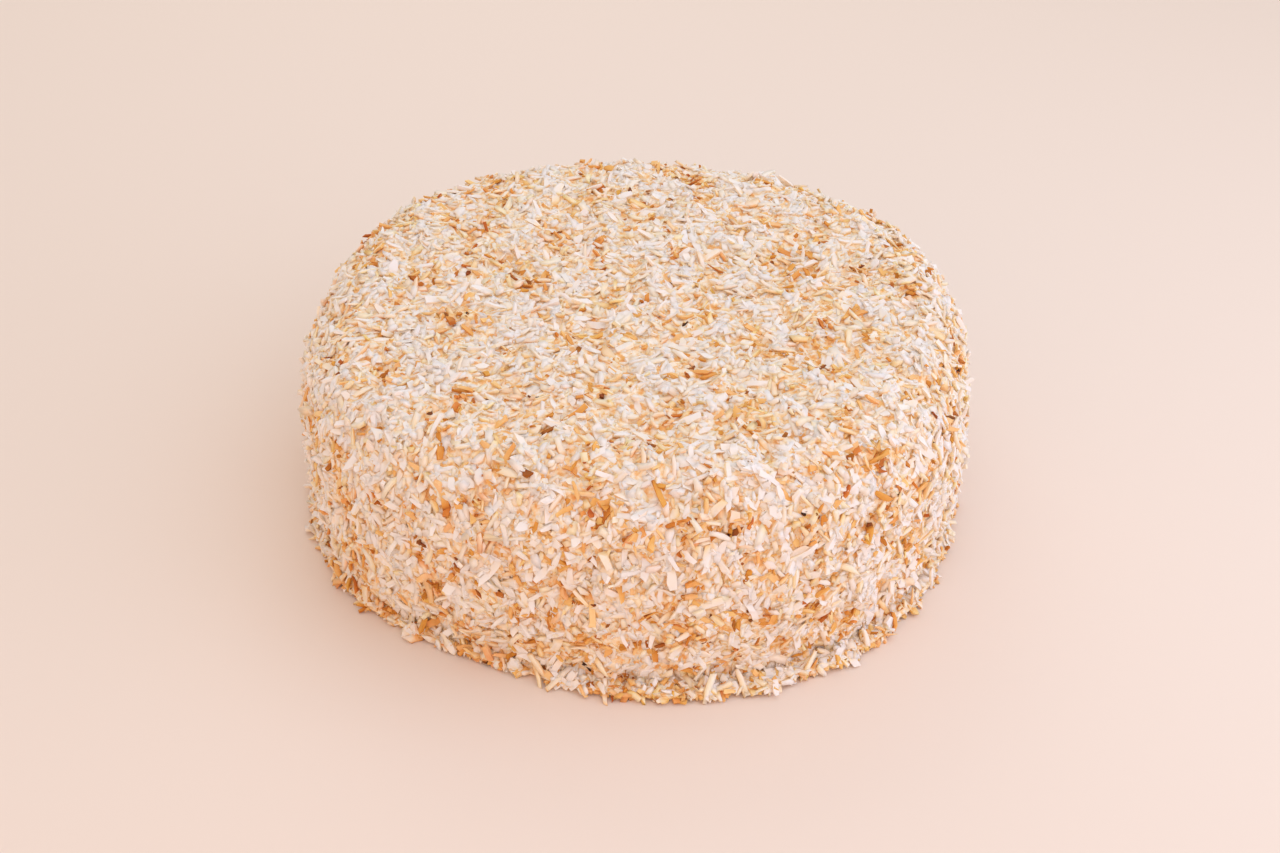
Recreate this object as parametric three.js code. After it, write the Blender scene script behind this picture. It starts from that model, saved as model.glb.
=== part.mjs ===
// Round coconut cream cake, coated all over with toasted coconut shreds.
// One solid: an uncut drum with a rolled top edge, a hand-finished outline that is slightly square,
// a lumpy coat, and a low uneven bank of fallen shreds around its foot.
// Millimetres, +Z up. The origin is at the middle of the flat base, and the front faces -Y.

import * as THREE from "three";
import { ImprovedNoise } from "three/addons/math/ImprovedNoise.js";

// ---- driving dimensions ----
const BODY_RADIUS = 112.4; // mean radius of the coated side
const BODY_HEIGHT = 73.5; // base to the top of the coat
const RIM_ROUND = 22; // radius of the rolled top edge
const BELLY = 1.2; // how far the side swells at mid height
const FOOT_TUCK = 2.0; // how far the side draws in where it meets the bank
const FOOT_DENT = 4.5; // how much further it draws in at one low corner
const FOOT_DENT_SIDE = THREE.MathUtils.degToRad(-121); // direction of that corner
const FOOT_DENT_NARROWNESS = 26; // power of the cosine that the dent dies away with
const FACET = 5; // spacing of the surface points

const BANK_HEIGHT = 4.4; // fallen shreds piled against the side
const BANK_WIDTH = 1.7; // reach of the bank over the base
const BANK_HEAP = 5.0; // extra reach where most of the shreds fell
const BANK_HEAP_SIDE = THREE.MathUtils.degToRad(-76); // direction of that heap
const BANK_HEAP_NARROWNESS = 10; // power of the cosine that the heap dies away with
const BANK_RAGGED = 2.2; // uneven edge of the bank
const BANK_LEAST = 1.4; // reach where almost nothing fell
const BANK_BAYS = [
  { turns: 9, seed: 3.3 }, // long bays of the bank's edge
  { turns: 19, seed: 7.7 }, // short ones between them
];
const BANK_MID_SHARE = 0.45; // where the bank's slope breaks, as a share of its reach
const BANK_MID_HEIGHT = 2.8; // its height there
const SHRED_THICKNESS = 1.0; // the bank's edge is one shred high

// Waves of the outline, as a share of the radius, with the direction of a crest.
const OUTLINE_WAVES = [
  { order: 4, share: 0.019, crest: THREE.MathUtils.degToRad(40) },
  { order: 3, share: 0.0036, crest: THREE.MathUtils.degToRad(9) },
  { order: 2, share: 0.004, crest: THREE.MathUtils.degToRad(82) },
];

// Relief of the coat: how high each kind of unevenness is, and how far apart its crests are.
const RELIEF = [
  { height: 0.9, span: 38 }, // slow waves of the spread cream under the coat
  { height: 1.2, span: 9.3 }, // clumps of shreds
  { height: 1.3, span: 3.1 }, // single shreds that stand proud
];

const COAT_COLOUR = new THREE.Color().setRGB(0.91, 0.79, 0.68, THREE.SRGBColorSpace);

const noise = new ImprovedNoise();

// ---- shape of the coat ----

// Share of the mean radius that the outline has in direction angle.
function outlineAt(angle) {
  return OUTLINE_WAVES.reduce(
    (sum, wave) => sum + wave.share * Math.cos(wave.order * (angle - wave.crest)),
    1,
  );
}

// How far the side has drawn in by the time it meets the bank in direction angle.
function footTuckAt(angle) {
  const towardsDent = Math.max(Math.cos(angle - FOOT_DENT_SIDE), 0);
  return FOOT_TUCK + FOOT_DENT * towardsDent ** FOOT_DENT_NARROWNESS;
}

// Noise on a circle, so that it closes on itself. turns sets how many lumps go round.
function ringNoise(angle, turns, seed) {
  return noise.noise(turns * Math.cos(angle), turns * Math.sin(angle), seed);
}

// How far the bank of fallen shreds reaches over the base in direction angle.
function bankReachAt(angle) {
  const towardsHeap = Math.max(Math.cos(angle - BANK_HEAP_SIDE), 0);
  const heap = BANK_HEAP * towardsHeap ** BANK_HEAP_NARROWNESS;
  const bays = BANK_BAYS.reduce((sum, { turns, seed }) => sum + ringNoise(angle, turns, seed), 0);
  const ragged = BANK_RAGGED * bays;
  return Math.max(BANK_WIDTH + heap + ragged, BANK_LEAST);
}

// How far the coat stands above its mean surface at a point.
function reliefAt(point) {
  return RELIEF.reduce(
    (sum, { height, span }) =>
      sum + height * noise.noise(point.x / span, point.y / span, point.z / span),
    0,
  );
}

// The profile of the body in the plane of the axis: along the top, round the rolled edge, down the
// side. Each station has its distance from the axis, its height, the slope of its outward normal,
// and on the side the share of the foot's tuck that it takes.
function bodyProfile() {
  const stations = [];
  const flat = BODY_RADIUS - RIM_ROUND;
  const flatSteps = Math.round(flat / FACET);
  for (let i = 1; i <= flatSteps; i++) {
    stations.push({ r: (flat * i) / flatSteps, z: BODY_HEIGHT, tilt: Math.PI / 2 });
  }
  const rimSteps = Math.round((RIM_ROUND * Math.PI) / 2 / FACET);
  for (let i = 1; i <= rimSteps; i++) {
    const tilt = (Math.PI / 2) * (1 - i / rimSteps);
    stations.push({
      r: flat + RIM_ROUND * Math.cos(tilt),
      z: BODY_HEIGHT - RIM_ROUND + RIM_ROUND * Math.sin(tilt),
      tilt,
    });
  }
  const sideTop = BODY_HEIGHT - RIM_ROUND;
  const sideSteps = Math.round((sideTop - BANK_HEIGHT) / FACET);
  for (let i = 1; i <= sideSteps; i++) {
    const share = i / sideSteps;
    stations.push({
      r: BODY_RADIUS + BELLY * Math.sin(Math.PI * share),
      z: sideTop + (BANK_HEIGHT - sideTop) * share,
      tilt: 0,
      tuckShare: share * share,
    });
  }
  return stations;
}

// A ring of points round the axis, from a function that gives the point in direction angle. Every
// second ring is turned by half a step, which keeps the triangles between rings even.
function ringOf(count, turn, pointAt) {
  const points = Array.from({ length: count }, (_, i) => {
    return pointAt((2 * Math.PI * (i + turn)) / count);
  });
  return { turn, points };
}

// A ring on the coat, raised by its relief along the outward normal.
function coatRing({ r, z, tilt, tuckShare = 0 }, count, turn) {
  return ringOf(count, turn, (angle) => {
    const reach = r * outlineAt(angle) - tuckShare * footTuckAt(angle);
    const point = new THREE.Vector3(reach * Math.cos(angle), reach * Math.sin(angle), z);
    const raised = reliefAt(point);
    const outward = new THREE.Vector3(
      Math.cos(tilt) * Math.cos(angle),
      Math.cos(tilt) * Math.sin(angle),
      Math.sin(tilt),
    );
    return point.addScaledVector(outward, raised);
  });
}

// A ring on the bank, share of the way out from the side and at height z.
function bankRing(share, z, count, turn) {
  return ringOf(count, turn, (angle) => {
    const foot = BODY_RADIUS * outlineAt(angle) - footTuckAt(angle);
    const reach = foot + share * bankReachAt(angle);
    return new THREE.Vector3(reach * Math.cos(angle), reach * Math.sin(angle), z);
  });
}

// ---- joining rings into one closed skin ----

// Triangles between two rings of corner numbers that go round the same way. Each step goes on along
// the ring whose next edge comes first.
function stitch(inner, outer, faces) {
  let i = 0;
  let o = 0;
  while (i < inner.corners.length || o < outer.corners.length) {
    const a = inner.corners[i % inner.corners.length];
    const b = outer.corners[o % outer.corners.length];
    const innerNext = (i + 0.5 + inner.turn) / inner.corners.length;
    const outerNext = (o + 0.5 + outer.turn) / outer.corners.length;
    const innerDone = i === inner.corners.length;
    const outerDone = o === outer.corners.length;
    if (innerDone || (!outerDone && outerNext <= innerNext)) {
      o += 1;
      faces.push(a, b, outer.corners[o % outer.corners.length]);
    } else {
      i += 1;
      faces.push(a, b, inner.corners[i % inner.corners.length]);
    }
  }
}

// A closed skin from the top pole, through the rings, to the pole of the base.
function skinOf(topPole, rings, basePole) {
  const points = [topPole];
  const faces = [];
  let before = null;
  for (const { turn, points: ringPoints } of rings) {
    const corners = ringPoints.map((_, i) => points.length + i);
    points.push(...ringPoints);
    const now = { turn, corners };
    if (before === null) {
      corners.forEach((corner, i) => faces.push(0, corner, corners[(i + 1) % corners.length]));
    } else {
      stitch(before, now, faces);
    }
    before = now;
  }
  const last = before.corners;
  last.forEach((corner, i) => faces.push(points.length, last[(i + 1) % last.length], corner));
  points.push(basePole);
  const skin = new THREE.BufferGeometry().setFromPoints(points);
  skin.setIndex(faces);
  skin.computeVertexNormals();
  return skin;
}

// Puts the middle of a skin's box over the origin.
function centred(skin) {
  skin.computeBoundingBox();
  const middle = skin.boundingBox.getCenter(new THREE.Vector3());
  return skin.translate(-middle.x, -middle.y, 0);
}

// The whole cake: rings grow by six points each from the middle of the top until they are full.
function cakeSkin() {
  const full = 6 * Math.round(BODY_RADIUS / FACET);
  const rings = bodyProfile().map((station, i) => {
    return coatRing(station, Math.min(6 * (i + 1), full), (i % 2) / 2);
  });
  const turn = (rings.length % 2) / 2;
  rings.push(bankRing(BANK_MID_SHARE, BANK_MID_HEIGHT, full, turn));
  rings.push(bankRing(1, SHRED_THICKNESS, full, turn));
  rings.push(bankRing(1, 0, full, turn));
  const top = new THREE.Vector3(0, 0, BODY_HEIGHT);
  const base = new THREE.Vector3(0, 0, 0);
  return centred(skinOf(top, rings, base));
}

// ---- the part ----
const cakeGroup = new THREE.Group();
const coat = new THREE.MeshStandardMaterial({ color: COAT_COLOUR, roughness: 0.85, metalness: 0 });
const cake = new THREE.Mesh(cakeSkin(), coat);
cake.name = "cake";
cakeGroup.add(cake);

export default cakeGroup;
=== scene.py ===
"""A whole round coconut cream cake.

A core of spread cream carries a coat of shredded coconut: raw white shreds and chips, creamy and
golden toasted ones, plump grains, long curls and crumbs. Every shred is settled in turn on what
lies under it, and a few have fallen to the foot.
"""

import logging
import math
from dataclasses import dataclass, field
from enum import Enum

import bmesh
import bpy
import numpy as np
from mathutils import Matrix, Vector


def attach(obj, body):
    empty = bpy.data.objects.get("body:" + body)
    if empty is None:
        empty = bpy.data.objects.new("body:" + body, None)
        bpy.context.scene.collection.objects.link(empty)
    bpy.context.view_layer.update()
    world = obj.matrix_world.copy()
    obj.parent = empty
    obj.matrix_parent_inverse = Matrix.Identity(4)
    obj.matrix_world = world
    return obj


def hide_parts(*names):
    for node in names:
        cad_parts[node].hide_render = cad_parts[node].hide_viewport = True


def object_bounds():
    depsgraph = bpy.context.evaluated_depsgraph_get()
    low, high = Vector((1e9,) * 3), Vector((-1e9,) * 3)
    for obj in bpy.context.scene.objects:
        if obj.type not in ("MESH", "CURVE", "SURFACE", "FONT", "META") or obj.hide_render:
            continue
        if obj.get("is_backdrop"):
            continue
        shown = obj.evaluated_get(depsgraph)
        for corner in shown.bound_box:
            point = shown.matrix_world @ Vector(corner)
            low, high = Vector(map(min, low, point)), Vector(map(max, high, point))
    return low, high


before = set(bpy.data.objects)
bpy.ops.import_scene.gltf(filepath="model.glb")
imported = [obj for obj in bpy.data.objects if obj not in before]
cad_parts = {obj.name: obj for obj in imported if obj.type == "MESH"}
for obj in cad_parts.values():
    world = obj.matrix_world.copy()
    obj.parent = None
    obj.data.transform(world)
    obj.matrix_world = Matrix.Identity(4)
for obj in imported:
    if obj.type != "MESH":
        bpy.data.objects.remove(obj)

LOG = logging.getLogger("coconut_cake")

MM = 0.001
NODE = "cake"
BODY = "root"
SEED = 20

FOOT_HEIGHT = 4.0 * MM  # the bank of fallen coconut round the foot
FOOT_CROWDING = 1.4  # how much denser the coconut lies there
LIP_HEIGHT = 1.2 * MM  # the thin outer edge of that bank
LIP_CROWDING = 3.5
FALLEN_REACH = (-3.2, 0.4)  # how far out fallen pieces lie, in millimetres
COAT_DEPTH = 3.0 * MM  # from the skin down to the cream
STANDING_REACH = 2.8 * MM  # how high a piece may stand up
FULL_SHADE_DEPTH = 0.95 * MM  # the depth in the coat at which the painted crevice shade is full
SHADE_STARTS_ABOVE = 0.4 * MM  # where that painted shade begins, above the coat's mean height
CANDIDATES = 5  # places tried for each one kept
BASE_REACH = 0.1 * MM  # what lies lower than this is the flat base
MERGE_REACH = 0.01 * MM
CHART_MARGIN = 20 * MM  # free rim of the chart that the coat's height is kept on
LUMP_HEIGHT = 0.65 * MM  # of the lumps that the coat starts on
NEAR_ZERO = 1e-9
BAKE_MAP = "OFBake"


class Slot(Enum):
    """The record's material slots."""

    CREAM = "coat_cream"
    WHITE = "coconut_white"
    CREAMY = "coconut_cream"
    GOLDEN = "coconut_golden"
    BROWN = "coconut_brown"


class Form(Enum):
    """The shapes that coconut is cut into."""

    SHRED = "shred"
    CHIP = "chip"
    GRAIN = "grain"
    CURL = "curl"
    CRUMB = "crumb"


# ---- small helpers


def deselect() -> None:
    """Leaves nothing selected."""
    for thing in bpy.context.selected_objects:
        thing.select_set(False)


def make_active(thing: bpy.types.Object) -> None:
    """Selects one object alone and makes it the active one.

    Args:
        thing: The object to select.
    """
    deselect()
    thing.select_set(True)
    bpy.context.view_layer.objects.active = thing


def unit(vectors: np.ndarray) -> np.ndarray:
    """Scales vectors, which lie along the last axis, to length one."""
    return vectors / np.linalg.norm(vectors, axis=-1, keepdims=True)


def vertex_places(mesh: bpy.types.Mesh) -> np.ndarray:
    """Reads a mesh's vertices.

    Args:
        mesh: The mesh to read.

    Returns:
        One row of three coordinates for each vertex.
    """
    places = np.empty(len(mesh.vertices) * 3)
    mesh.vertices.foreach_get("co", places)
    return places.reshape(-1, 3)


def merged_copy(node: str, name: str) -> bpy.types.Object:
    """Copies a node of the frame and joins its loose triangles.

    Args:
        node: The node's name.
        name: The copy's name.

    Returns:
        The copy, with shared corners and its faces pointing out.
    """
    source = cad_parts[node]
    copy = bpy.data.objects.new(name, source.data.copy())
    bpy.context.scene.collection.objects.link(copy)
    copy.data.materials.clear()
    make_active(copy)
    bpy.ops.object.mode_set(mode="EDIT")
    bpy.ops.mesh.select_all(action="SELECT")
    bpy.ops.mesh.remove_doubles(threshold=MERGE_REACH)
    bpy.ops.mesh.normals_make_consistent(inside=False)
    bpy.ops.object.mode_set(mode="OBJECT")
    return copy


@dataclass(frozen=True)
class Drift:
    """Slow, patchy variation over the cake, so that toasted shreds lie in loose clusters."""

    spans: tuple[float, ...]
    seed: int
    waves: int = 14
    uneven: tuple[float, float] = (0.7, 1.5)

    def at(self, places: np.ndarray) -> np.ndarray:
        """Evaluates the variation.

        Args:
            places: Points in metres.

        Returns:
            One value for each point, with a mean near 0 and a spread near 1.
        """
        rng = np.random.default_rng(self.seed)
        total = np.zeros(len(places))
        for span in self.spans:
            heading = unit(rng.normal(size=(self.waves, 3)))
            pace = 2 * math.pi / (span * rng.uniform(*self.uneven, self.waves))
            start = rng.uniform(0, 2 * math.pi, self.waves)
            total += np.cos(places @ (heading * pace[:, None]).T + start).sum(1)
        return total * math.sqrt(2 / (self.waves * len(self.spans)))


# ---- materials


@dataclass
class NodeSheet:
    """A material's nodes, added one after another."""

    name: str
    material: bpy.types.Material = field(init=False)
    shader: bpy.types.Node = field(init=False)

    def __post_init__(self) -> None:
        """Starts from the plain shader."""
        self.material = bpy.data.materials.new(self.name)
        self.material.use_nodes = True
        self.shader = self.material.node_tree.nodes["Principled BSDF"]

    def add(self, kind: str, **settings: object) -> bpy.types.Node:
        """Adds a node.

        Args:
            kind: The node's type.
            settings: Its properties.

        Returns:
            The new node.
        """
        node = self.material.node_tree.nodes.new(kind)
        for name, value in settings.items():
            setattr(node, name, value)
        return node

    def join(self, start: bpy.types.NodeSocket, end: bpy.types.NodeSocket) -> None:
        """Links one socket to another."""
        self.material.node_tree.links.new(start, end)

    def noise(self, vector: bpy.types.NodeSocket, scale: float, detail: float) -> bpy.types.Node:
        """Adds a noise pattern.

        Args:
            vector: The coordinates that it reads.
            scale: Its scale.
            detail: How many finer layers it has.

        Returns:
            The noise node.
        """
        node = self.add("ShaderNodeTexNoise")
        node.inputs["Scale"].default_value = scale
        node.inputs["Detail"].default_value = detail
        self.join(vector, node.inputs["Vector"])
        return node

    def ramp(self, value: bpy.types.NodeSocket, stops: list[tuple]) -> bpy.types.Node:
        """Adds a colour ramp.

        Args:
            value: The number that it turns into a colour.
            stops: Each stop's place and its colour, as red, green and blue.

        Returns:
            The ramp node.
        """
        node = self.add("ShaderNodeValToRGB")
        elements = node.color_ramp.elements
        while len(elements) < len(stops):
            elements.new(1.0)
        for element, (place, colour) in zip(elements, stops):
            element.position = place
            element.color = (*linear(colour), 1.0)
        self.join(value, node.inputs["Fac"])
        return node

    def bump(self, height: bpy.types.NodeSocket, strength: float, distance: float) -> None:
        """Gives the shader a bump from a height.

        Args:
            height: The height pattern.
            strength: How strong the bump is.
            distance: Its full height in metres.
        """
        node = self.add("ShaderNodeBump")
        node.inputs["Strength"].default_value = strength
        node.inputs["Distance"].default_value = distance
        self.join(height, node.inputs["Height"])
        self.join(node.outputs["Normal"], self.shader.inputs["Normal"])

    def surface(self, roughness: float, gloss: float) -> None:
        """Sets how rough and how glossy the shader is."""
        self.shader.inputs["Roughness"].default_value = roughness
        self.shader.inputs["Specular IOR Level"].default_value = gloss

    def glow(self, share: float, reach: float) -> None:
        """Lets light soak in.

        Args:
            share: How much of the light does.
            reach: How far it spreads inside, in metres, the same for every colour.
        """
        self.shader.inputs["Subsurface Weight"].default_value = share
        self.shader.inputs["Subsurface Radius"].default_value = (1.0, 1.0, 1.0)
        self.shader.inputs["Subsurface Scale"].default_value = reach


def linear(colour: tuple[float, float, float]) -> tuple[float, ...]:
    """Turns a display colour, from 0 to 255, into the linear one that shaders take."""
    shares = (part / 255 for part in colour)
    return tuple(s / 12.92 if s <= 0.04045 else ((s + 0.055) / 1.055) ** 2.4 for s in shares)


@dataclass(frozen=True)
class CoconutFinish:
    """Coconut flesh: its colour follows how toasted each spot is, with painted shade mixed into that
    value, along with fine fibres.
    """

    name: str
    stops: tuple[tuple, ...]
    roughness: float = 0.6
    gloss: float = 0.18
    glow: float = 0.35
    glow_reach: float = 0.8 * MM
    mottle: float = 0.26
    mottle_scale: float = 0.9
    hue_spread: float = 0.09
    hue_scale: float = 0.05
    fibre: float = 0.2
    fibre_height: float = 0.12 * MM
    fibre_stretch: tuple[float, float, float] = (0.35, 4.0, 4.0)

    def material(self) -> bpy.types.Material:
        """Makes the material.

        Returns:
            The finished material.
        """
        sheet = NodeSheet(self.name)
        # the toast attribute holds real toasting plus painted shade in crevices and on undersides
        toast = sheet.add("ShaderNodeAttribute", attribute_name="toast")
        grain = sheet.add("ShaderNodeAttribute", attribute_name="grain")
        mottle = sheet.noise(grain.outputs["Vector"], self.mottle_scale, 3.0)
        spread = sheet.add("ShaderNodeMath", operation="MULTIPLY_ADD")
        sheet.join(mottle.outputs["Fac"], spread.inputs[0])
        spread.inputs[1].default_value = self.mottle
        spread.inputs[2].default_value = -0.5 * self.mottle
        depth = sheet.add("ShaderNodeMath", operation="ADD", use_clamp=True)
        sheet.join(toast.outputs["Fac"], depth.inputs[0])
        sheet.join(spread.outputs["Value"], depth.inputs[1])
        colour = sheet.ramp(depth.outputs["Value"], list(self.stops))
        own = sheet.noise(grain.outputs["Vector"], self.hue_scale, 1.0)
        turn = sheet.add("ShaderNodeMath", operation="MULTIPLY_ADD")
        sheet.join(own.outputs["Fac"], turn.inputs[0])
        turn.inputs[1].default_value = self.hue_spread
        turn.inputs[2].default_value = 0.5 - 0.5 * self.hue_spread
        tinted = sheet.add("ShaderNodeHueSaturation")
        sheet.join(turn.outputs["Value"], tinted.inputs["Hue"])
        sheet.join(colour.outputs["Color"], tinted.inputs["Color"])
        sheet.join(tinted.outputs["Color"], sheet.shader.inputs["Base Color"])
        stretched = sheet.add("ShaderNodeMapping")
        stretched.inputs["Scale"].default_value = self.fibre_stretch
        sheet.join(grain.outputs["Vector"], stretched.inputs["Vector"])
        fibres = sheet.noise(stretched.outputs["Vector"], 1.0, 2.0)
        sheet.bump(fibres.outputs["Fac"], self.fibre, self.fibre_height)
        sheet.surface(self.roughness, self.gloss)
        sheet.glow(self.glow, self.glow_reach)
        return sheet.material


@dataclass(frozen=True)
class CreamFinish:
    """The spread cream with the finest coconut pressed into it."""

    name: str = "spread_cream"
    stops: tuple[tuple, ...] = (
        (0.34, (236, 174, 106)),
        (0.44, (246, 208, 156)),
        (0.54, (250, 230, 202)),
        (0.64, (252, 243, 231)),
    )
    roughness: float = 0.7
    gloss: float = 0.3
    glow: float = 0.4
    glow_reach: float = 1.0 * MM
    patch_scale: float = 420.0
    crumb_scale: float = 900.0
    crumb: float = 0.6
    crumb_height: float = 0.5 * MM

    def material(self) -> bpy.types.Material:
        """Makes the material.

        Returns:
            The finished material.
        """
        sheet = NodeSheet(self.name)
        place = sheet.add("ShaderNodeTexCoord").outputs["Object"]
        patches = sheet.noise(place, self.patch_scale, 3.0)
        colour = sheet.ramp(patches.outputs["Fac"], list(self.stops))
        sheet.join(colour.outputs["Color"], sheet.shader.inputs["Base Color"])
        crumb = sheet.noise(place, self.crumb_scale, 4.0)
        sheet.bump(crumb.outputs["Fac"], self.crumb, self.crumb_height)
        sheet.surface(self.roughness, self.gloss)
        sheet.glow(self.glow, self.glow_reach)
        return sheet.material


@dataclass(frozen=True)
class FloorFinish:
    """Plain pale studio paper."""

    name: str = "pale_paper"
    colour: tuple[float, float, float] = (238, 224, 212)
    roughness: float = 0.8
    gloss: float = 0.2

    def material(self) -> bpy.types.Material:
        """Makes the material.

        Returns:
            The finished material.
        """
        sheet = NodeSheet(self.name)
        sheet.shader.inputs["Base Color"].default_value = (*linear(self.colour), 1.0)
        sheet.surface(self.roughness, self.gloss)
        return sheet.material


WHITE = (241, 237, 234)
IVORY = (246, 236, 225)
CREAM = (250, 230, 200)
PEACH = (249, 210, 155)
GOLD = (236, 179, 104)
AMBER = (217, 146, 62)
TAN = (184, 107, 40)
BROWN = (139, 76, 30)
CHAR = (54, 32, 24)

RAW = CoconutFinish(
    "raw_coconut", ((0.0, WHITE), (0.3, IVORY), (0.6, CREAM), (0.85, PEACH), (1.0, GOLD))
)
CREAMY = CoconutFinish(
    "creamy_coconut", ((0.0, IVORY), (0.35, CREAM), (0.65, PEACH), (1.0, GOLD))
)
TOASTED = CoconutFinish(
    "toasted_coconut", ((0.0, PEACH), (0.5, GOLD), (0.84, AMBER), (1.0, TAN)), hue_spread=0.06
)
DARK = CoconutFinish(
    "dark_toasted_coconut", ((0.0, GOLD), (0.3, AMBER), (0.6, TAN), (0.9, BROWN), (1.0, CHAR)),
    hue_spread=0.05,
)


# ---- the cake's surface


@dataclass
class Skin:
    """The cake's outer surface, with a flat chart that unrolls the top and the side."""

    corners: np.ndarray
    normals: np.ndarray
    shoulder: float

    @classmethod
    def of(cls, body: bpy.types.Object) -> "Skin":
        """Reads the surface of a closed mesh of triangles, apart from its flat base.

        Args:
            body: The merged copy of the cake's node.

        Returns:
            The skin.
        """
        mesh = body.data
        places = vertex_places(mesh)
        normals = np.empty_like(places).ravel()
        mesh.vertices.foreach_get("normal", normals)
        triangles = np.empty(len(mesh.polygons) * 3, int)
        mesh.polygons.foreach_get("vertices", triangles)
        triangles = triangles.reshape(-1, 3)
        on_base = places[triangles][:, :, 2].max(1) < BASE_REACH
        triangles = triangles[~on_base]
        top = float(np.median(places[places[:, 2] > 0.9 * places[:, 2].max(), 2]))
        return cls(places[triangles], normals.reshape(-1, 3)[triangles], top)

    def scatter(
        self,
        count: int,
        rng: np.random.Generator,
        drift: Drift | None,
        pull: float,
        sidewards: float,
    ) -> tuple[np.ndarray, np.ndarray]:
        """Picks places all over the skin, more of them where a drift is high.

        Args:
            count: How many places.
            rng: The source of chance.
            drift: The variation that they follow, if any.
            pull: How strongly they follow it.
            sidewards: How many more lie on the side than on the top, as a share.

        Returns:
            The places and the outward normals there.
        """
        edge_a = self.corners[:, 1] - self.corners[:, 0]
        edge_b = self.corners[:, 2] - self.corners[:, 0]
        weight = np.linalg.norm(np.cross(edge_a, edge_b), axis=1)
        middle = self.corners.mean(1)
        weight = weight * np.where(middle[:, 2] < FOOT_HEIGHT, FOOT_CROWDING, 1.0)
        weight = weight * np.where(middle[:, 2] < LIP_HEIGHT, LIP_CROWDING, 1.0)
        weight = weight * (1 + sidewards * (1 - np.abs(self.normals[:, :, 2].mean(1))))
        tries = count if drift is None else CANDIDATES * count
        chosen = rng.choice(len(weight), tries, p=weight / weight.sum())
        a, b = np.sort(rng.random((2, tries)), axis=0)
        shares = np.stack([a, b - a, 1 - b], 1)[:, :, None]
        places = (self.corners[chosen] * shares).sum(1)
        normals = unit((self.normals[chosen] * shares).sum(1))
        if drift is None:
            return places, normals
        appeal = np.exp(pull * drift.at(places))
        kept = rng.choice(tries, count, replace=False, p=appeal / appeal.sum())
        return places[kept], normals[kept]

    def chart(self, places: np.ndarray) -> np.ndarray:
        """Unrolls points onto a plane: the top as it is, and the side outside it.

        Args:
            places: Points on or near the skin.

        Returns:
            Two flat coordinates for each point, in metres.
        """
        flat = places[..., :2]
        reach = np.linalg.norm(flat, axis=-1, keepdims=True)
        below = np.maximum(self.shoulder - places[..., 2:3], 0)
        return flat / np.maximum(reach, NEAR_ZERO) * (reach + below)



@dataclass
class Heap:
    """How high the coat has grown over the core, cell by cell of the skin's chart."""

    skin: Skin
    reach: float
    cell: float = 0.45 * MM
    ceiling: float = 3.2 * MM
    level: np.ndarray = field(init=False)
    side: int = field(init=False)

    def __post_init__(self) -> None:
        """Starts with a bare core."""
        self.side = int(2 * self.reach / self.cell) + 2
        self.level = np.zeros(self.side * self.side)

    def clump(self, drift: Drift, height: float) -> None:
        """Starts the coat on low lumps instead of on bare cream.

        Args:
            drift: Where the lumps are.
            height: How high a usual lump is, in metres.
        """
        steps = np.arange(self.side) * self.cell - self.reach
        flat = np.stack(np.meshgrid(steps, steps, [0.0], indexing="ij"), -1).reshape(-1, 3)
        self.level += height * np.clip(drift.at(flat), 0.0, 2.0)

    def cells(self, places: np.ndarray) -> np.ndarray:
        """Finds the cells under points.

        Args:
            places: Points on the skin.

        Returns:
            One cell number for each point.
        """
        spots = ((self.skin.chart(places) + self.reach) / self.cell).astype(int)
        spots = np.clip(spots, 0, self.side - 1)
        return spots[..., 0] * self.side + spots[..., 1]

    def height_at(self, places: np.ndarray) -> np.ndarray:
        """Reads how high the coat is at points."""
        return self.level[self.cells(places)]

    def smoothed(self, span: float) -> "Heap":
        """Blurs the heap.

        Args:
            span: The reach of the blur, in metres.

        Returns:
            The blurred heap.
        """
        square = self.level.reshape(self.side, self.side)
        pace = np.fft.fftfreq(self.side, self.cell)
        fade = np.exp(-2 * (math.pi * span * pace) ** 2)
        spectrum = np.fft.fft2(square) * fade[:, None] * fade[None, :]
        copy = Heap(self.skin, self.reach, self.cell, self.ceiling)
        copy.level = np.fft.ifft2(spectrum).real.ravel()
        return copy


# ---- cutting coconut


@dataclass
class Blank:
    """One cut piece of unit size, as arrays from which thousands are made."""

    places: np.ndarray
    faces: list[tuple[int, ...]]
    chart: np.ndarray

    @classmethod
    def of(cls, model: bpy.types.Object) -> "Blank":
        """Reads a modelled piece and removes it from the scene.

        Args:
            model: A closed mesh with its own map.

        Returns:
            The blank.
        """
        mesh = model.data
        faces = [tuple(face.vertices) for face in mesh.polygons]
        chart = np.empty(len(mesh.loops) * 2)
        mesh.uv_layers.active.data.foreach_get("uv", chart)
        blank = cls(vertex_places(mesh), faces, chart.reshape(-1, 2))
        bpy.data.objects.remove(model)
        bpy.data.meshes.remove(mesh)
        return blank


CROSS_CUTS = {Form.CRUMB: 0, Form.GRAIN: 1, Form.SHRED: 2, Form.CURL: 4}


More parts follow.
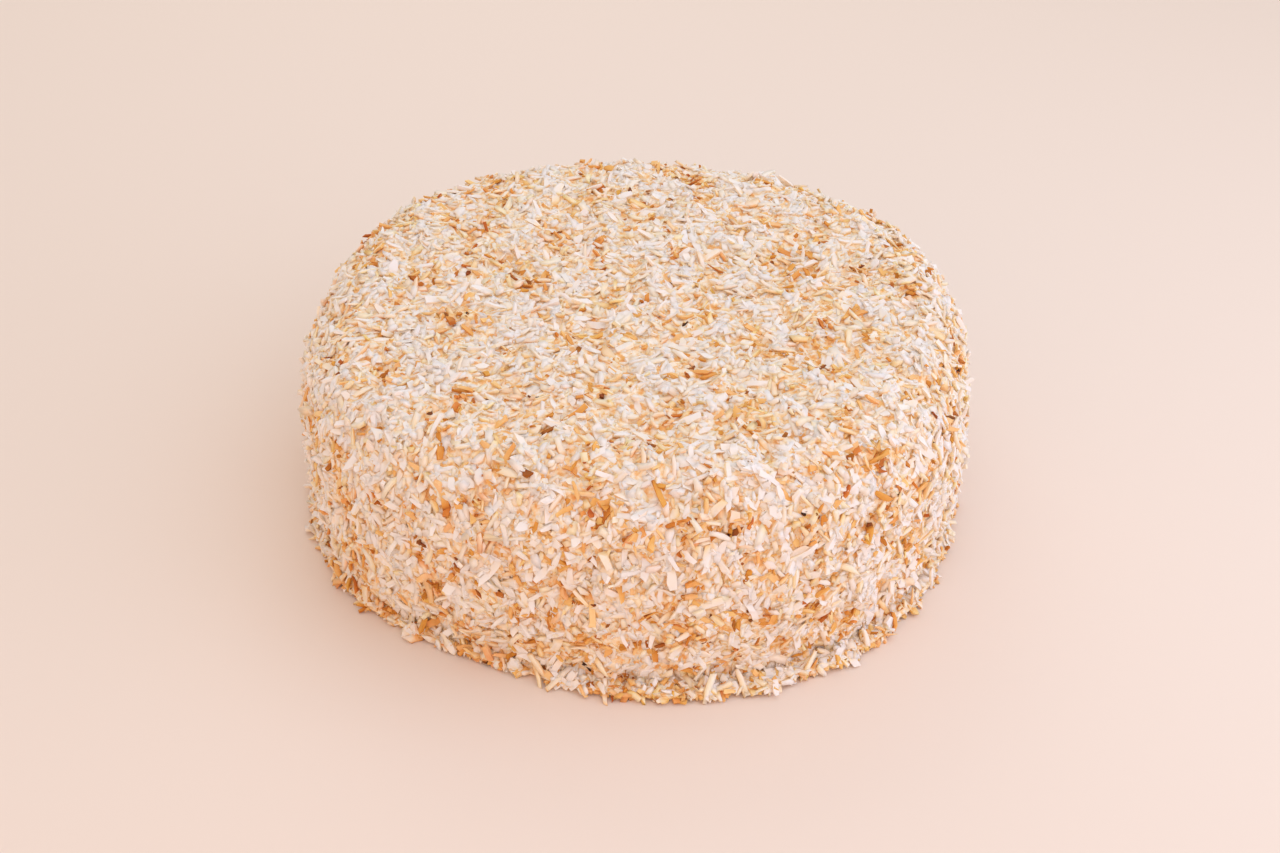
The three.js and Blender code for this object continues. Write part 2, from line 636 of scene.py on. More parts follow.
@dataclass(frozen=True)
class Cutter:
    """Models the unit blank of each form with primitives and edit-mode tools."""

    form: Form
    width: float = 0.45
    thickness: float = 0.3

    def blank(self) -> Blank:
        """Models the form's blank.

        Returns:
            The blank, one unit long, wide and thick.
        """
        deselect()
        model = self.plate() if self.form is Form.CHIP else self.bar(CROSS_CUTS[self.form])
        self.lay_map(model)
        return Blank.of(model)

    def bar(self, cuts: int) -> bpy.types.Object:
        """Models a bar with cross cuts along its length.

        Args:
            cuts: The number of cross cuts.

        Returns:
            The bar.
        """
        bpy.ops.mesh.primitive_cube_add(size=1)
        model = bpy.context.object
        if cuts:
            bpy.ops.object.mode_set(mode="EDIT")
            bpy.ops.mesh.select_all(action="DESELECT")
            bpy.ops.mesh.select_mode(type="EDGE")
            shape = bmesh.from_edit_mesh(model.data)
            for edge in shape.edges:
                start, end = (corner.co for corner in edge.verts)
                edge.select_set(abs(start.x - end.x) > 0.5)
            bmesh.update_edit_mesh(model.data)
            bpy.ops.mesh.subdivide(number_cuts=cuts)
            bpy.ops.object.mode_set(mode="OBJECT")
        return model

    def plate(self) -> bpy.types.Object:
        """Models a six-sided plate whose two broad faces have a middle point.

        Returns:
            The plate.
        """
        bpy.ops.mesh.primitive_cylinder_add(vertices=6, radius=0.5, depth=1)
        model = bpy.context.object
        bpy.ops.object.mode_set(mode="EDIT")
        bpy.ops.mesh.select_all(action="DESELECT")
        bpy.ops.mesh.select_mode(type="FACE")
        shape = bmesh.from_edit_mesh(model.data)
        for face in shape.faces:
            face.select_set(len(face.verts) == 6)
        bmesh.update_edit_mesh(model.data)
        bpy.ops.mesh.poke()
        bpy.ops.object.mode_set(mode="OBJECT")
        return model

    def lay_map(self, model: bpy.types.Object) -> None:
        """Unfolds the blank's faces beside each other in one square, at a usual piece's shares.

        Args:
            model: The blank's mesh.
        """
        make_active(model)
        for layer in list(model.data.uv_layers):
            model.data.uv_layers.remove(layer)
        model.data.uv_layers.new(name="unfolded")
        model.scale = (1.0, self.width, self.thickness)
        bpy.ops.object.transform_apply(location=False, rotation=False, scale=True)
        bpy.ops.object.mode_set(mode="EDIT")
        bpy.ops.mesh.select_all(action="SELECT")
        bpy.ops.uv.smart_project(island_margin=0.02, scale_to_bounds=True)
        bpy.ops.object.mode_set(mode="OBJECT")
        model.scale = (1.0, 1 / self.width, 1 / self.thickness)
        bpy.ops.object.transform_apply(location=False, rotation=False, scale=True)


@dataclass(frozen=True)
class Spread:
    """A size that varies from piece to piece: its usual value, its spread and its limits."""

    usual: float
    spread: float
    least: float
    most: float

    def draw(self, count: int, rng: np.random.Generator) -> np.ndarray:
        """Draws one size in millimetres for each piece."""
        sizes = self.usual * np.exp(self.spread * rng.normal(size=count))
        return np.clip(sizes, self.least, self.most)


@dataclass
class CoconutKind:
    """One kind of cut coconut, joined into one piece of the cake.

    Lengths are in millimetres and angles in degrees. toast runs from 0, raw, to 1, dark.
    """

    name: str
    form: Form
    slot: Slot
    finish: CoconutFinish
    count: int
    length: Spread
    width: Spread
    thickness: Spread
    toast: tuple[float, float]
    toasted_tips: float = 0.0
    toasted_rims: float = 0.0
    curl: float = 0.1
    sweep: float = 0.08
    twist: float = 20.0
    narrowing: tuple[float, float] = (0.45, 1.0)
    slant: float = 0.35
    ragged: float = 0.07
    # edge: partly real toasting of the cut sides, partly painted shade that darkens each piece's lower
    # sides and underside
    edge: float = 0.32
    rounding: float = 120.0
    proud: float = 0.16
    standing: tuple[float, float] = (20.0, 55.0)
    unrest: float = 9.0
    rocking: float = 1.3
    combed: float = 1.6
    order: float = 0.0
    drift: Drift | None = None
    pull: float = 0.0
    stain: float = 0.11
    speckle: float = 0.05
    # painted shade: how far parts deep in the coat's crevices are pushed towards the warmer, darker
    # end of the ramp
    crevice_shade: float = 0.85
    sidewards: float = 0.0

    def stock(self, skin: Skin, rng: np.random.Generator) -> "Stock":
        """Draws every piece's place, direction and size.

        Args:
            skin: The surface that the pieces go on.
            rng: The source of chance.

        Returns:
            The pieces, not yet settled.
        """
        places, normals = skin.scatter(self.count, rng, self.drift, self.pull, self.sidewards)
        self.drop(places, normals, rng)
        along = unit(np.cross(normals, rng.normal(size=normals.shape)))
        upward = np.array([0.0, 0.0, 1.0]) - normals * normals[:, 2:]
        heading = rng.choice([-1.0, 1.0], (self.count, 1))
        comb = heading * rng.uniform(0, self.combed, (self.count, 1))
        along = unit(along + comb * upward)
        size = np.stack(
            [s.draw(self.count, rng) for s in (self.length, self.width, self.thickness)], 1
        )
        proud = rng.random(self.count) < self.proud
        lean = np.where(proud, np.radians(rng.uniform(*self.standing, self.count)), 0.0)
        lean = lean + np.radians(rng.normal(0, self.unrest, self.count))
        steepest = np.arcsin(np.minimum(1.0, STANDING_REACH / (size[:, 0] * MM)))
        lean = np.clip(lean, -steepest, steepest)
        tilt = np.radians(rng.normal(0, self.rocking * self.unrest, self.count))
        turn = rng.random(self.count) + self.order
        return Stock(places, normals, along, size * MM, lean, tilt, turn)

    def drop(self, places: np.ndarray, normals: np.ndarray, rng: np.random.Generator) -> None:
        """Lays the outermost pieces of the bank flat on the floor, in place.

        Args:
            places: Every piece's place.
            normals: The outward normal at each place.
            rng: The source of chance.
        """
        fallen = places[:, 2] < LIP_HEIGHT
        outward = unit(places[:, :2])
        away = rng.uniform(*FALLEN_REACH, (len(places), 1)) * MM
        places[fallen, :2] += (outward * away)[fallen]
        places[fallen, 2] = 0
        normals[fallen] = (0, 0, 1)

    def carved(self, blank: Blank, size: np.ndarray, rng: np.random.Generator) -> np.ndarray:
        """Cuts, bends and twists one copy of the blank for each piece.

        Args:
            blank: The unit blank.
            size: Each piece's length, width and thickness in metres.
            rng: The source of chance.

        Returns:
            The vertices of every piece, in its own length, width and thickness axes.
        """
        count = len(size)
        x, y, z = blank.places.T[:, None, :]
        thinning = 0.45  # how much thinner a piece is where it is narrower
        ends = rng.uniform(*self.narrowing, (2, count, 1))
        share = np.clip(x + 0.5, 0, 1)
        width = 1 - (1 - ends[0]) * np.clip(1 - 2 * share, 0, 1)
        width = width - (1 - ends[1]) * np.clip(2 * share - 1, 0, 1)
        ragged = self.ragged * rng.normal(size=(3, count, len(blank.places)))
        length, breadth, thickness = (size[:, i, None] for i in range(3))
        slant = self.slant * rng.normal(size=(2, count, 1))
        pushed = np.where(x < 0, slant[0], slant[1]) * y * breadth * np.abs(2 * x)
        lengthwise = length * (x + 0.6 * ragged[0]) + pushed
        crosswise = breadth * (y * width + ragged[1])
        upright = thickness * (z * (1 - thinning + thinning * width) + 0.8 * ragged[2])
        arch = 4 * (x * x - 1 / 12) * length
        curl = self.curl * rng.normal(size=(count, 1))
        sweep = self.sweep * rng.normal(size=(count, 1))
        cup = 0.5 * self.curl * rng.normal(size=(count, 1))
        upright = upright + curl * arch * 0.5 + cup * 4 * (y * y - 1 / 12) * breadth * 0.5
        crosswise = crosswise + sweep * arch * 0.5
        turn = np.radians(self.twist) * rng.normal(size=(count, 1)) * x
        cos, sin = np.cos(turn), np.sin(turn)
        return np.stack(
            [lengthwise, crosswise * cos - upright * sin, crosswise * sin + upright * cos], 2
        )

    def tones(self, blank: Blank, toast: np.ndarray, rng: np.random.Generator) -> np.ndarray:
        """Works out how toasted each vertex is.

        Args:
            blank: The unit blank.
            toast: Each piece's own toasting.
            rng: The source of chance.

        Returns:
            One value for each vertex of each piece.
        """
        count = len(toast)
        x, y, _ = blank.places.T[:, None, :]
        tip = np.sign(rng.normal(size=(count, 1))) * x + 0.5
        rim = np.sign(rng.normal(size=(count, 1))) * y + 0.5
        tips = self.toasted_tips * np.clip(rng.normal(0, 1, (count, 1)), 0, None)
        rims = self.toasted_rims * np.clip(rng.normal(0, 1, (count, 1)), 0, None)
        tone = toast[:, None] + tips * tip**2 + rims * rim**2
        return np.clip(tone + self.speckle * rng.normal(size=(count, len(blank.places))), 0, 1)


@dataclass
class Stock:
    """Pieces of one or more kinds on their way to the cake, one row each."""

    places: np.ndarray
    normals: np.ndarray
    along: np.ndarray
    size: np.ndarray
    lean: np.ndarray
    tilt: np.ndarray
    turn: np.ndarray

    def __len__(self) -> int:
        """Counts the pieces."""
        return len(self.places)

    @classmethod
    def mixed(cls, stocks: list["Stock"]) -> "Stock":
        """Puts several stocks together."""
        columns = zip(*(vars(stock).values() for stock in stocks))
        return cls(*(np.concatenate(column) for column in columns))

    def rows(self, chosen: np.ndarray) -> "Stock":
        """Takes some of the pieces."""
        return Stock(*(column[chosen] for column in vars(self).values()))


@dataclass
class Settled:
    """Where pieces came to rest: their middles and their own three axes."""

    middles: np.ndarray
    axes: np.ndarray


@dataclass
class Settler:
    """Lays pieces on the heap in turn, each resting on what is already there.

    bearing is the share of the spots under a piece that lie lower than what it rests on, and
    footing is the share of its standing height that a leaning piece's middle is raised by.
    """

    heap: Heap
    batch: int = 500
    steps: tuple[int, int] = (9, 4)
    sink: float = 0.6
    bearing: float = 0.9
    steepest: float = 0.35
    pressed: float = 0.5
    footing: float = 0.28

    def settle(self, stock: Stock) -> Settled:
        """Lays every piece.

        Args:
            stock: The pieces, in any order.

        Returns:
            Where they lie, in the same order.
        """
        middles = np.empty((len(stock), 3))
        axes = np.empty((len(stock), 3, 3))
        order = np.argsort(stock.turn)
        for start in range(0, len(order), self.batch):
            chosen = order[start : start + self.batch]
            middles[chosen], axes[chosen] = self.lay(stock.rows(chosen))
        return Settled(middles, axes)

    def lay(self, stock: Stock) -> tuple[np.ndarray, np.ndarray]:
        """Lays one batch and raises the heap by it.

        Args:
            stock: The batch.

        Returns:
            The middles and the axes of its pieces.
        """
        across = np.cross(stock.normals, stock.along)
        u, v = np.meshgrid(*(np.linspace(-0.5, 0.5, n) for n in self.steps), indexing="ij")
        u, v = u.ravel(), v.ravel()
        length, width, thickness = stock.size.T
        spots = (
            stock.places[:, None]
            + (u * length[:, None])[:, :, None] * stock.along[:, None]
            + (v * width[:, None])[:, :, None] * across[:, None]
        )
        cells = self.heap.cells(spots)
        under = self.heap.level[cells]
        level = under.mean(1)
        pitch = self.slope(under, u, length)
        roll = self.slope(under, v, width)
        plane = level[:, None] + u * (pitch * length)[:, None] + v * (roll * width)[:, None]
        gap = np.quantile(under - plane, self.bearing, axis=1)
        lifted = level + (1 - self.sink) * gap + (0.5 - self.pressed) * thickness
        standing = np.abs(np.sin(stock.lean)) * length
        middle = np.minimum(lifted, self.heap.ceiling) + self.footing * standing
        above = plane - level[:, None] + (lifted + 0.5 * thickness)[:, None]
        np.maximum.at(self.heap.level, cells, np.minimum(above, self.heap.ceiling))
        pitch = np.arctan(pitch) + stock.lean
        roll = np.arctan(roll) + stock.tilt
        x_axis = np.cos(pitch)[:, None] * stock.along + np.sin(pitch)[:, None] * stock.normals
        y_axis = np.cos(roll)[:, None] * across + np.sin(roll)[:, None] * stock.normals
        y_axis = unit(y_axis - (y_axis * x_axis).sum(1, keepdims=True) * x_axis)
        z_axis = np.cross(x_axis, y_axis)
        rise = (middle - inset_at(stock.places))[:, None]
        return stock.places + rise * stock.normals, np.stack([x_axis, y_axis, z_axis], 1)

    def slope(self, under: np.ndarray, steps: np.ndarray, span: np.ndarray) -> np.ndarray:
        """Fits the slope of the heights under each piece, along an axis where it has this span."""
        rise = (under * steps).sum(1) / (steps * steps).sum()
        return np.clip(rise / span, -self.steepest, self.steepest)


def inset_at(places: np.ndarray) -> np.ndarray:
    """Works out how far the cream lies under the skin: not at all at the very foot."""
    return COAT_DEPTH * np.clip(places[:, 2] / FOOT_HEIGHT, 0.0, 1.0)


# ---- the cake's pieces


@dataclass
class CreamCore:
    """The cake itself under the coat, with the finest coconut as relief."""

    name: str = "cake_core"
    cuts: int = 4
    bed_count: int = 26000
    smoothing: float = 0.7 * MM
    below_top: float = -0.10 * MM
    below_side: float = -0.04 * MM

    def bed(self, skin: Skin, heap: Heap, rng: np.random.Generator) -> None:
        """Presses a first bed of fine coconut into the cream.

        Args:
            skin: The cake's surface.
            heap: The coat's height, which the bed raises.
            rng: The source of chance.
        """
        fine = CoconutKind(
            "bed", Form.SHRED, Slot.CREAM, RAW, self.bed_count,
            Spread(3.0, 0.3, 1.2, 6.0), Spread(1.4, 0.3, 0.8, 2.6), Spread(0.5, 0.2, 0.3, 0.8),
            toast=(0.0, 0.0), proud=0.0,
        )
        Settler(heap).settle(fine.stock(skin, rng))

    def build(self, heap: Heap) -> bpy.types.Object:
        """Makes the core from the node, drawn in by the coat's depth.

        Args:
            heap: The coat's height once all of it has settled.

        Returns:
            The core.
        """
        core = merged_copy(NODE, self.name)
        bpy.ops.object.mode_set(mode="EDIT")
        bpy.ops.mesh.select_all(action="SELECT")
        bpy.ops.mesh.subdivide(number_cuts=self.cuts, smoothness=0)
        bpy.ops.object.mode_set(mode="OBJECT")
        places = vertex_places(core.data)
        normals = np.empty(places.size)
        core.data.vertices.foreach_get("normal", normals)
        normals = normals.reshape(-1, 3)
        below = self.below_side + (self.below_top - self.below_side) * np.abs(normals[:, 2])
        cream = heap.smoothed(self.smoothing).height_at(places) - below
        raised = np.where(places[:, 2] > LIP_HEIGHT, cream - inset_at(places), -LIP_HEIGHT)
        moved = places + normals * raised[:, None]
        base = places[:, 2] <= BASE_REACH
        inward = 1 - COAT_DEPTH / np.linalg.norm(places[:, :2], axis=1).max()
        moved[base] = places[base] * (inward, inward, 0.0)
        moved[:, 2] = np.maximum(moved[:, 2], 0)
        core.data.vertices.foreach_set("co", moved.ravel())
        core.data.update()
        return core

    def dress(self, core: bpy.types.Object) -> None:
        """Gives the core its cream and its place in the frame."""
        core.data.materials.append(CreamFinish().material())
        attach(core, BODY)
        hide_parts(NODE)


@dataclass
class CoconutPile:
    """All the pieces of one kind, joined into one mesh.

    rarity makes well toasted pieces rarer, grain_reach keeps the pieces' patterns apart, and
    margin is the free rim of a piece's square in the map.
    """

    kind: CoconutKind
    surface: Heap
    rarity: float = 1.6
    grain_reach: float = 500.0
    # how much of the edge lift the upper corners of the cut sides get: partly real edge toasting,
    # partly painted shade
    side_toast_and_shade: float = 0.45
    margin: float = 0.08

    def build(self, stock: Stock, settled: Settled, rng: np.random.Generator) -> bpy.types.Object:
        """Makes the joined mesh.

        Args:
            stock: The kind's pieces.
            settled: Where they lie.
            rng: The source of chance.

        Returns:
            The pile.
        """
        kind = self.kind
        blank = Cutter(kind.form).blank()
        local = kind.carved(blank, stock.size, rng)
        places = np.einsum("nvk,nkc->nvc", local, settled.axes) + settled.middles[:, None]
        sunk = np.minimum(places[:, :, 2].min(1), 0)
        places[:, :, 2] -= sunk[:, None]
        toast = kind.toast[0] + (kind.toast[1] - kind.toast[0]) * rng.random(len(stock)) ** self.rarity
        if kind.drift is not None:
            toast = np.clip(toast + kind.stain * kind.drift.at(stock.places), 0, 1)
        # painted shade: vertices deep in the coat's crevices are coloured warmer and darker
        tones = kind.tones(blank, toast, rng) + kind.crevice_shade * self.crevice_shading(places, stock)
        offsets = rng.uniform(-self.grain_reach, self.grain_reach, (len(stock), 1, 3))
        pile = self.joined(blank, places)
        self.paint(pile.data, self.toasted_and_shaded(blank, tones), local / MM + offsets)
        self.lay_map(pile.data, blank, len(stock))
        make_active(pile)
        bpy.ops.object.shade_smooth_by_angle(angle=math.radians(kind.rounding))
        return pile

    def crevice_shading(self, places: np.ndarray, stock: Stock) -> np.ndarray:
        """Paints shade into the coat's crevices: works out how deep in the coat each vertex lies, so
        that deeper parts are coloured warmer and darker.

        Args:
            places: The vertices of every piece.
            stock: The pieces.

        Returns:
            One value for each vertex, from 0 at the surface to 1 well inside.
        """
        rise = ((places - stock.places[:, None]) * stock.normals[:, None]).sum(2)
        rise = rise + inset_at(stock.places)[:, None]
        depth = self.surface.height_at(places) + SHADE_STARTS_ABOVE - rise
        return np.clip(depth / FULL_SHADE_DEPTH, 0, 1)

    def joined(self, blank: Blank, places: np.ndarray) -> bpy.types.Object:
        """Joins the pieces' vertices and faces into one object.

        Args:
            blank: The unit blank, for its faces.
            places: The vertices of every piece.

        Returns:
            The object.
        """
        count, corners, _ = places.shape
        totals = np.array([len(face) for face in blank.faces])
        loops = np.concatenate([np.array(face) for face in blank.faces])
        starts = np.concatenate([[0], np.cumsum(totals)[:-1]])
        copies = np.arange(count)[:, None]
        mesh = bpy.data.meshes.new(self.kind.name)
        mesh.vertices.add(count * corners)
        mesh.vertices.foreach_set("co", places.ravel())
        mesh.loops.add(count * len(loops))
        mesh.loops.foreach_set("vertex_index", (loops + copies * corners).ravel())
        mesh.polygons.add(count * len(totals))
        mesh.polygons.foreach_set("loop_start", (starts + copies * len(loops)).ravel())
        mesh.polygons.foreach_set("loop_total", np.tile(totals, count))
        mesh.update(calc_edges=True)
        pile = bpy.data.objects.new(self.kind.name, mesh)
        bpy.context.scene.collection.objects.link(pile)
        return pile

    def toasted_and_shaded(self, blank: Blank, tones: np.ndarray) -> np.ndarray:
        """Toasts the cut edges more than the broad upper face, and paints shade on each piece's
        underside and on the lower half of its sides.

        Args:
            blank: The unit blank.
            tones: The toasting and painted crevice shade of each vertex.

        Returns:
            The toasting and painted shade of each face corner.
        """
        corners = []
        toast_and_shade_lifts = []
        for face in blank.faces:
            a, b, c = blank.places[list(face[:3])]
            upward = np.cross(b - a, c - b)[2]
            flat = abs(upward) > 0.5 * np.linalg.norm(np.cross(b - a, c - b))
            for corner in face:
                low = blank.places[corner, 2] < 0
                corners.append(corner)
                # painted shade on the underside and the lower corners of the sides; the upper corners
                # of the cut sides get partly real edge toasting and partly painted shade
                toast_and_shade_lifts.append(1.0 if low else 0.0 if flat else self.side_toast_and_shade)
        return np.clip(tones[:, corners] + self.kind.edge * np.array(toast_and_shade_lifts), 0, 1)

    def paint(self, mesh: bpy.types.Mesh, tones: np.ndarray, grain: np.ndarray) -> None:
        """Stores how toasted each face corner is, with its painted shade, and each vertex's place in
        its own shred.

        Args:
            mesh: The joined mesh.
            tones: The toasting and painted shade of each face corner.
            grain: Each vertex's own coordinates in its shred, in millimetres.
        """
        # the toast attribute carries the painted crevice and underside shade as well as the real
        # toasting
        mesh.attributes.new("toast", "FLOAT", "CORNER").data.foreach_set("value", tones.ravel())
        mesh.attributes.new("grain", "FLOAT_VECTOR", "POINT").data.foreach_set(
            "vector", grain.ravel()
        )

    def lay_map(self, mesh: bpy.types.Mesh, blank: Blank, count: int) -> None:
        """Gives each piece its own square of one map.

        Args:
            mesh: The joined mesh.
            blank: The unit blank, for its unfolding.
            count: The number of pieces.
        """
        side = math.ceil(math.sqrt(count))
        column, row = np.divmod(np.arange(count), side)
        corner = np.stack([column, row], 1)[:, None]
        inner = self.margin + (1 - 2 * self.margin) * blank.chart
        spots = (corner + inner) / side
        mesh.uv_layers.new(name=BAKE_MAP).data.foreach_set("uv", spots.ravel())

    def dress(self, pile: bpy.types.Object) -> None:
        """Gives the pile its finish and its place in the frame."""
        pile.data.materials.append(self.kind.finish.material())
        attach(pile, BODY)


@dataclass
class Coat:
    """The whole coat of coconut, in the order in which its kinds are made."""

    kinds: list[CoconutKind]
    smoothing: float = 0.8 * MM

    def build(self, skin: Skin, heap: Heap, rng: np.random.Generator) -> list[bpy.types.Object]:
        """Settles all the kinds together and makes one pile of each.

        Args:
            skin: The cake's surface.
            heap: The coat's height so far.
            rng: The source of chance.

        Returns:
            The piles.
        """
        stocks = [kind.stock(skin, rng) for kind in self.kinds]
        settled = Settler(heap).settle(Stock.mixed(stocks))
        surface = heap.smoothed(self.smoothing)
        piles = []
        start = 0
        for kind, stock in zip(self.kinds, stocks):
            own = slice(start, start + len(stock))
            start += len(stock)
            maker = CoconutPile(kind, surface)
            pile = maker.build(stock, Settled(settled.middles[own], settled.axes[own]), rng)
            maker.dress(pile)
            piles.append(pile)
        return piles


def coconut_kinds() -> list[CoconutKind]:
    """Lists the kinds of cut coconut on the cake."""
    patches = Drift((4.5 * MM, 8 * MM, 13 * MM, 22 * MM), 3)
    return [
        CoconutKind(
            "shreds_white", Form.SHRED, Slot.WHITE, RAW, 7000,
            Spread(5.4, 0.32, 2.2, 10.0), Spread(1.8, 0.30, 0.9, 3.4), Spread(1.0, 0.25, 0.5, 1.6),
            toast=(0.0, 0.30), toasted_tips=0.24, toasted_rims=0.14,
            curl=0.10, twist=16, rounding=75, drift=patches, pull=-0.8, sidewards=0.6,
        ),
        CoconutKind(
            "shreds_creamy", Form.SHRED, Slot.CREAMY, CREAMY, 7100,
            Spread(5.0, 0.32, 2.0, 9.5), Spread(1.65, 0.30, 0.8, 3.1), Spread(0.9, 0.24, 0.4, 1.4),
            toast=(0.0, 0.42), toasted_tips=0.24, toasted_rims=0.16, curl=0.10,
            twist=18, drift=patches, sidewards=-0.2,
        ),
        CoconutKind(
            "shreds_golden", Form.SHRED, Slot.GOLDEN, TOASTED, 3700,
            Spread(4.3, 0.34, 1.7, 8.5), Spread(1.5, 0.32, 0.7, 2.9), Spread(0.75, 0.24, 0.3, 1.2),
            toast=(0.0, 0.80), toasted_tips=0.18, toasted_rims=0.15, edge=0.15, curl=0.14,
            twist=24, rounding=60, drift=patches, pull=2.0, crevice_shade=0.2, sidewards=0.8,
        ),
        CoconutKind(
            "chips_white", Form.CHIP, Slot.WHITE, RAW, 3300,
            Spread(4.8, 0.28, 2.4, 7.6), Spread(2.45, 0.26, 1.4, 3.9), Spread(0.75, 0.22, 0.4, 1.2),
            toast=(0.0, 0.28), toasted_tips=0.14, toasted_rims=0.28, curl=0.14,
            sweep=0.05, twist=10, ragged=0.09, rounding=60, drift=patches, pull=-0.8,
            sidewards=0.3,
        ),
        CoconutKind(
            "chips_toasted", Form.CHIP, Slot.BROWN, DARK, 1500,
            Spread(3.0, 0.34, 1.2, 5.6), Spread(1.6, 0.32, 0.7, 3.0), Spread(0.58, 0.22, 0.35, 0.9),
            toast=(0.05, 0.80), toasted_tips=0.12, toasted_rims=0.12, edge=0.05, curl=0.2,
            sweep=0.06, twist=16, ragged=0.11, rounding=60, drift=patches, pull=1.8, crevice_shade=0.05,
            sidewards=1.6,
        ),
        CoconutKind(
            "grains_white", Form.GRAIN, Slot.WHITE, RAW, 5500,
            Spread(3.8, 0.26, 1.9, 6.2), Spread(2.0, 0.24, 1.1, 3.2), Spread(1.25, 0.18, 0.8, 1.8),
            toast=(0.0, 0.28), toasted_tips=0.18, toasted_rims=0.10,
            curl=0.06, narrowing=(0.3, 0.75), twist=8, slant=0.2,
            drift=patches, pull=-0.7, sidewards=-0.5,
        ),
        CoconutKind(
            "curls_creamy", Form.CURL, Slot.CREAMY, CREAMY, 900,
            Spread(7.2, 0.22, 5.0, 11.0), Spread(1.8, 0.28, 1.0, 3.2), Spread(0.65, 0.20, 0.4, 1.0),
            toast=(0.0, 0.38), toasted_tips=0.16, toasted_rims=0.16, curl=0.20,
            sweep=0.20, twist=36, narrowing=(0.25, 0.9), order=0.1, proud=0.05,
            drift=patches,
        ),
        CoconutKind(
            "crumbs_golden", Form.CRUMB, Slot.GOLDEN, TOASTED, 5500,
            Spread(1.3, 0.30, 0.6, 2.4), Spread(0.95, 0.25, 0.5, 1.6), Spread(0.55, 0.2, 0.35, 0.9),
            toast=(0.0, 0.72), curl=0.1, ragged=0.14, edge=0.1, rounding=38, drift=patches, pull=1.8,
            crevice_shade=0.2, sidewards=0.3,
        ),
        CoconutKind(
            "crumbs_white", Form.CRUMB, Slot.WHITE, RAW, 11000,
            Spread(1.5, 0.30, 0.7, 2.8), Spread(1.05, 0.25, 0.5, 1.8), Spread(0.7, 0.2, 0.4, 1.1),
            toast=(0.0, 0.25), curl=0.1, ragged=0.14, order=0.05,
            drift=patches, pull=-0.2,
        ),
        CoconutKind(
            "slivers_dark", Form.SHRED, Slot.BROWN, DARK, 56,
            Spread(3.2, 0.32, 1.7, 6.0), Spread(1.5, 0.26, 0.8, 2.4), Spread(0.6, 0.2, 0.4, 0.9),
            toast=(0.6, 0.97), edge=0.0, rounding=38, curl=0.2, twist=30, order=0.9, proud=0.1,
        ),
    ]


# ---- the studio


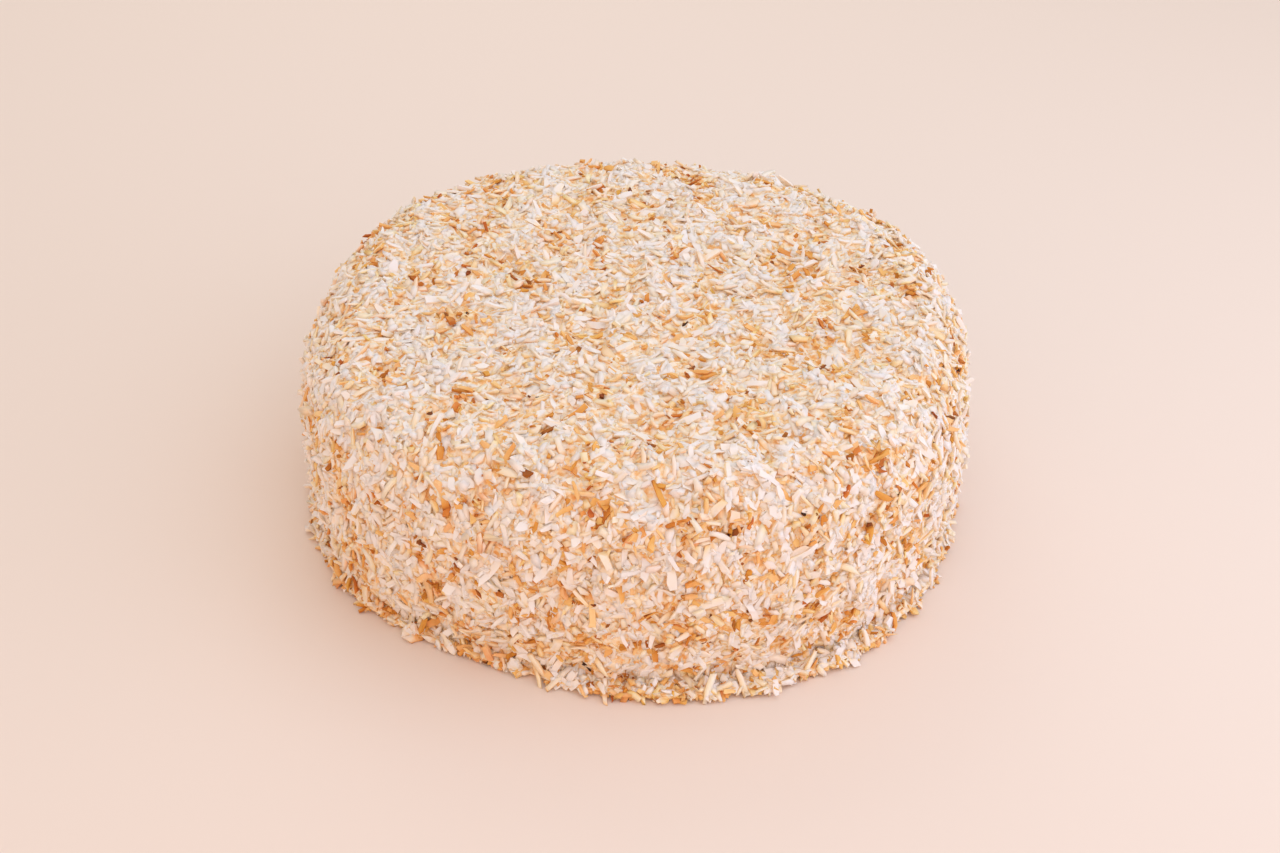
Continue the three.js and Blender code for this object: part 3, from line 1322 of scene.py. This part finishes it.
@dataclass
class Studio:
    """A pale floor, soft light and the camera."""

    lens: float = 50.0
    sensor: float = 36.0
    clip_start: float = 0.01
    elevation: float = 35.29
    distance: float = 2.9202
    aim: tuple[float, float] = (0.0020, 0.1345)
    roll: float = 1.055
    exposure: float = 0.0
    floor_widths: float = 30.0
    sky: tuple[float, float, float] = (255, 245, 240)
    sky_strength: float = 0.74

    def build(self, low: Vector, high: Vector) -> None:
        """Makes the whole studio.

        Args:
            low: The object's lowest corner.
            high: Its highest corner.
        """
        width = high.x - low.x
        self.camera(width)
        self.floor(width)
        self.light("key_light", width, (1.7, -0.9, 3.7), 5.0, 3.2, (207, 229, 255))
        self.light("fill_light", width, (-0.9, -3.3, 0.8), 4.6, 2.2, (255, 180, 118))
        self.light("side_light", width, (3.2, -0.9, 0.5), 2.8, 2.0, (226, 224, 255))
        self.light("back_light", width, (-0.8, 3.2, 3.0), 2.6, 1.0, (255, 248, 242))
        self.surroundings()
        bpy.context.scene.view_settings.view_transform = "Standard"
        bpy.context.scene.view_settings.exposure = self.exposure

    def camera(self, width: float) -> None:
        """Sets the camera up in front of the cake, looking down on it.

        Args:
            width: The object's width, which the distances are shares of.
        """
        angle = math.radians(self.elevation)
        aim = Vector((self.aim[0] * width, self.aim[1] * width, 0.0))
        back = Vector((0.0, -math.cos(angle), math.sin(angle)))
        data = bpy.data.cameras.new("camera")
        data.lens = self.lens
        data.sensor_width = self.sensor
        data.clip_start = self.clip_start
        camera = bpy.data.objects.new("camera", data)
        roll = Matrix.Rotation(math.radians(self.roll), 3, "Z")
        turn = back.to_track_quat("Z", "Y").to_matrix() @ roll
        place = Matrix.Translation(aim + back * self.distance * width)
        camera.matrix_world = place @ turn.to_4x4()
        bpy.context.scene.collection.objects.link(camera)
        bpy.context.scene.camera = camera

    def floor(self, width: float) -> None:
        """Lays the floor.

        Args:
            width: The object's width.
        """
        deselect()
        bpy.ops.mesh.primitive_plane_add(size=self.floor_widths * width)
        floor = bpy.context.object
        floor.name = "floor"
        floor.data.materials.append(FloorFinish().material())
        floor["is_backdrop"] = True

    def light(
        self,
        name: str,
        width: float,
        place: tuple[float, float, float],
        size: float,
        power: float,
        colour: tuple[float, float, float],
    ) -> None:
        """Hangs one soft square light that faces the cake.

        Args:
            name: Its name.
            width: The object's width.
            place: Where it hangs, in widths.
            size: Its side, in widths.
            power: Its power in watts.
            colour: Its display colour.
        """
        data = bpy.data.lights.new(name, "AREA")
        data.size = size * width
        data.energy = power
        data.color = linear(colour)
        lamp = bpy.data.objects.new(name, data)
        lamp.location = Vector(place) * width
        lamp.rotation_euler = lamp.location.to_track_quat("Z", "Y").to_euler()
        bpy.context.scene.collection.objects.link(lamp)

    def surroundings(self) -> None:
        """Fills the room with soft white light."""
        world = bpy.data.worlds.new("studio")
        world.use_nodes = True
        sky = world.node_tree.nodes["Background"]
        sky.inputs["Color"].default_value = (*linear(self.sky), 1.0)
        sky.inputs["Strength"].default_value = self.sky_strength
        bpy.context.scene.world = world


def main() -> None:
    """Builds the cake and the studio."""
    logging.basicConfig(level=logging.INFO, format="%(message)s")
    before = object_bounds()
    low, high = before
    Studio().build(low, high)
    rng = np.random.default_rng(SEED)
    body = merged_copy(NODE, "guide")
    skin = Skin.of(body)
    bpy.data.objects.remove(body)
    heap = Heap(skin, 0.5 * (high.x - low.x) + high.z + CHART_MARGIN)
    heap.clump(Drift((5.5 * MM, 9 * MM), 7), LUMP_HEIGHT)
    cream = CreamCore()
    cream.bed(skin, heap, rng)
    for pile in Coat(coconut_kinds()).build(skin, heap, rng):
        LOG.info("%s: %d vertices", pile.name, len(pile.data.vertices))
    core = cream.build(heap)
    cream.dress(core)
    LOG.info("%s: %d vertices", core.name, len(core.data.vertices))
    LOG.info("coat %.2f mm deep", heap.height_at(skin.corners.mean(1)).mean() / MM)
    deselect()


if __name__ == "__main__":
    main()
